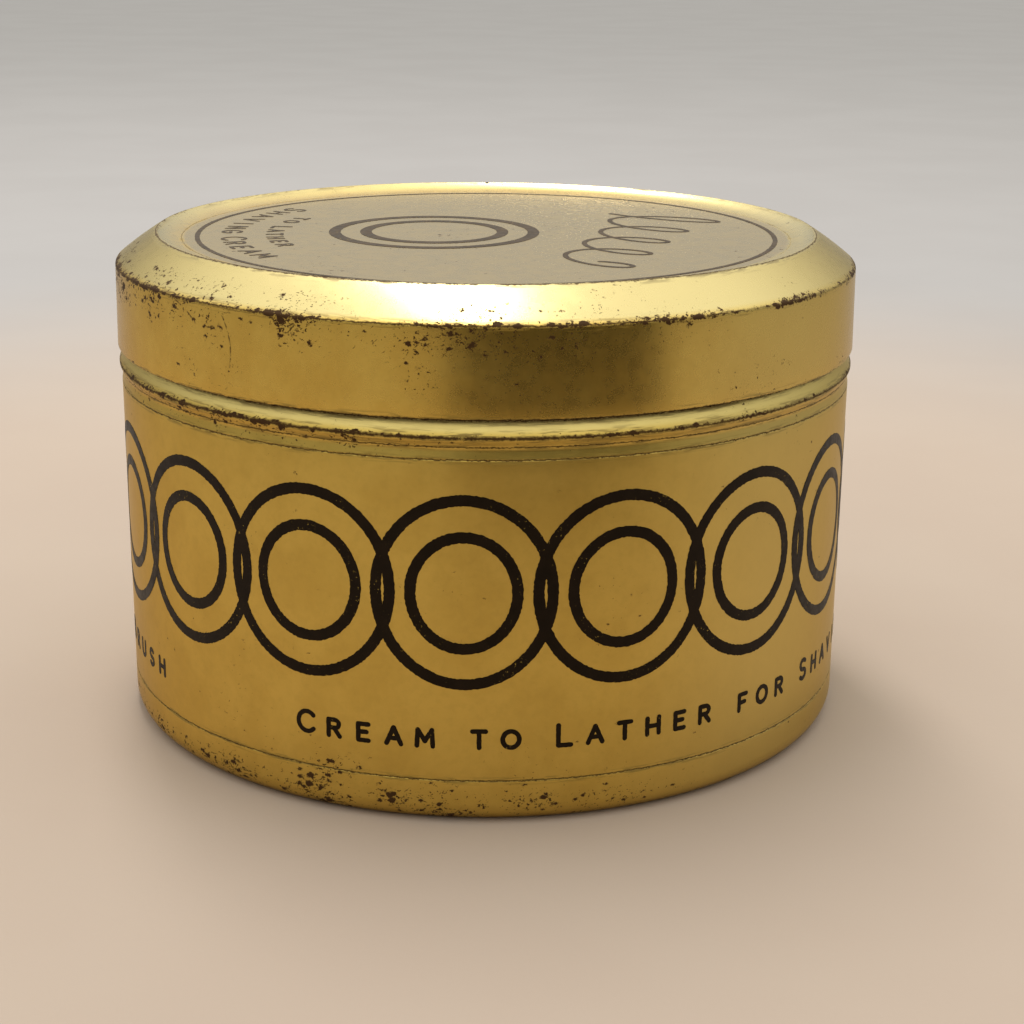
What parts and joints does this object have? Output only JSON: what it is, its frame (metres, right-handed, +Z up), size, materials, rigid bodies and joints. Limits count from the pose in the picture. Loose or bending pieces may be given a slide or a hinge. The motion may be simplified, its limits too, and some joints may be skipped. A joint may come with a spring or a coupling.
{
  "type": "shaving cream tin",
  "caption": "Low round tin with a chamfered slip-on lid, a sealing wad in the lid and a paper disc over the cream it holds.",
  "frame": {"origin": "centre of the base, on the surface the tin stands on", "axes": "+Z up along the tin's axis of revolution; the printed side faces -Y; +X to the right of it"},
  "size_m": [0.0922, 0.0922, 0.0605],
  "materials": {
    "gold_lacquer_body": "satin",
    "gold_lacquer_lid": "satin",
    "pulpboard": "matte",
    "cream": "satin",
    "waxed_paper": "matte"
  },
  "bodies": {
    "tin": {"tin_body": "gold_lacquer_body", "shaving_cream": "cream"},
    "liner": {"lid_liner": "pulpboard"},
    "lid": {"lid_shell": "gold_lacquer_lid"},
    "disc": {"cover_disc": "waxed_paper"}
  },
  "joints": [
    {"name": "lid_lift", "type": "slide", "parent": "tin", "child": "liner", "axis": [0, 0, 1], "range_m": [0, 0.06]},
    {"name": "lid_turn", "type": "hinge", "parent": "liner", "child": "lid", "pos_m": [0, 0, 0.0595], "axis": [0, 0, 1], "continuous": true},
    {"name": "disc_lift", "type": "slide", "parent": "tin", "child": "disc", "axis": [0, 0, 1], "range_m": [0, 0.008]}
  ]
}
